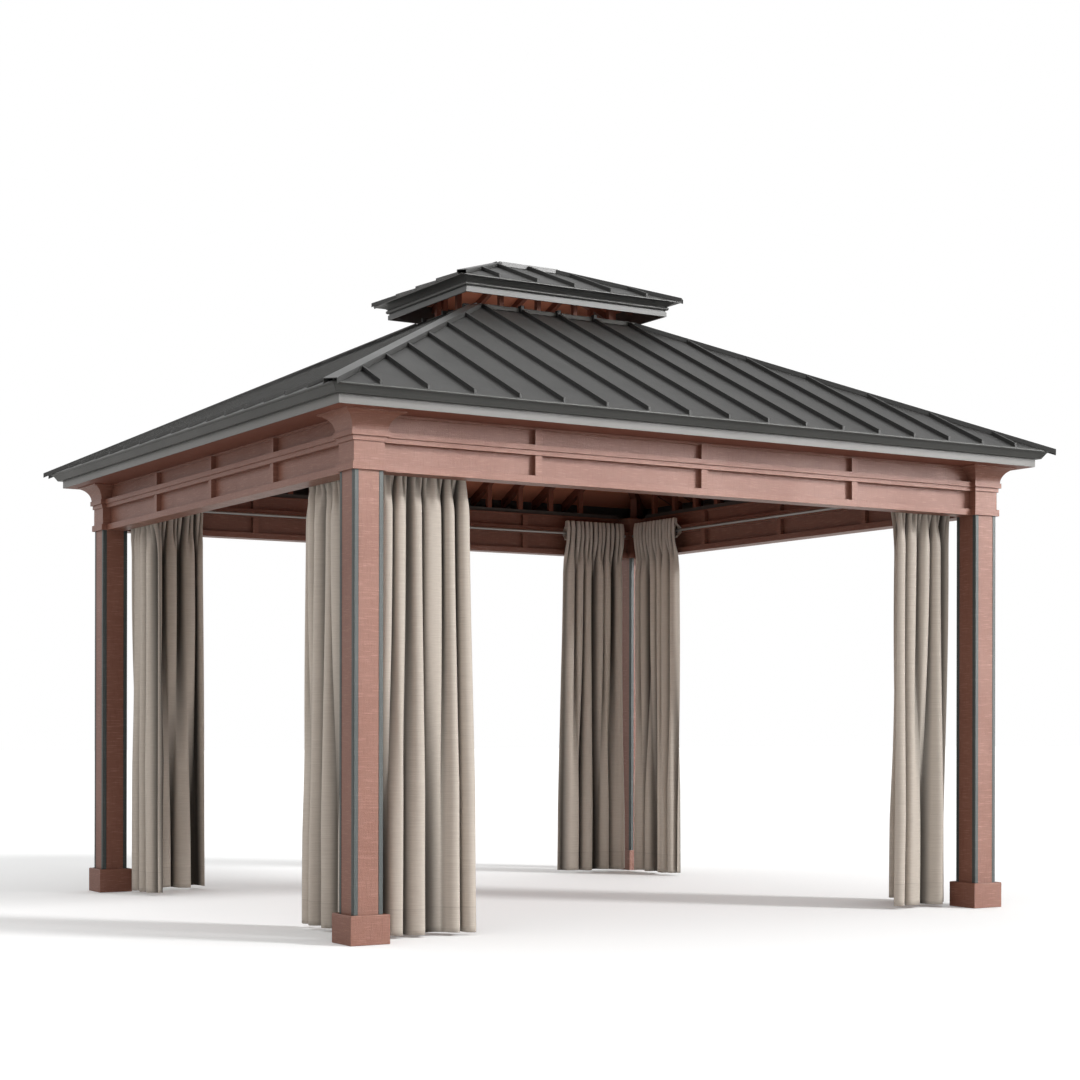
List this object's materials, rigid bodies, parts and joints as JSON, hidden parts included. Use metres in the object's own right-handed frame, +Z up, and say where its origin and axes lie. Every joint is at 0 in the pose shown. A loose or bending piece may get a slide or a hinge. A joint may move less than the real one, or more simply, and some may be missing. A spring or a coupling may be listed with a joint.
{
  "type": "metal gazebo",
  "caption": "Open-sided metal gazebo with panelled posts, moulded headers, a hipped standing-seam roof, a vented cupola and gathered curtains at its corners.",
  "frame": {"origin": "centre of the plan at ground level", "axes": "+X along the longer side, -Y towards the front, +Z up"},
  "size_m": [4.0888, 3.7348, 3.3648],
  "materials": {
    "post_grey": "satin",
    "panel_brown": "satin",
    "eave_grey": "satin",
    "roof_charcoal": "satin",
    "cupola_trim": "satin",
    "frame_brown": "satin",
    "rail_grey": "satin",
    "curtain_cloth": "matte"
  },
  "bodies": {
    "root": {"post_front_left": "post_grey", "capital_front_left": "panel_brown", "post_front_right": "post_grey", "capital_front_right": "panel_brown", "post_back_left": "post_grey", "capital_back_left": "panel_brown", "post_back_right": "post_grey", "capital_back_right": "panel_brown", "post_panels": "panel_brown", "base_covers": "panel_brown", "header_front": "panel_brown", "eave_front": "eave_grey", "roof_front": "roof_charcoal", "cupola_eave_front": "cupola_trim", "header_right": "panel_brown", "eave_right": "eave_grey", "roof_right": "roof_charcoal", "cupola_eave_right": "cupola_trim", "header_back": "panel_brown", "eave_back": "eave_grey", "roof_back": "roof_charcoal", "cupola_eave_back": "cupola_trim", "header_left": "panel_brown", "eave_left": "eave_grey", "roof_left": "roof_charcoal", "cupola_eave_left": "cupola_trim", "curtain_front_left": "curtain_cloth", "curtain_front_right": "curtain_cloth", "curtain_right_front": "curtain_cloth", "curtain_right_back": "curtain_cloth", "curtain_back_right": "curtain_cloth", "curtain_back_left": "curtain_cloth", "curtain_left_back": "curtain_cloth", "curtain_left_front": "curtain_cloth", "curtain_rails": "rail_grey", "wall_plates": "rail_grey", "top_ring": "rail_grey", "hip_caps": "roof_charcoal", "cupola_roof": "roof_charcoal", "cupola_caps": "roof_charcoal", "rafters": "frame_brown", "soffits": "frame_brown", "rafter_struts": "frame_brown", "cupola_rafters": "frame_brown", "cupola_legs": "frame_brown"}
  },
  "joints": []
}
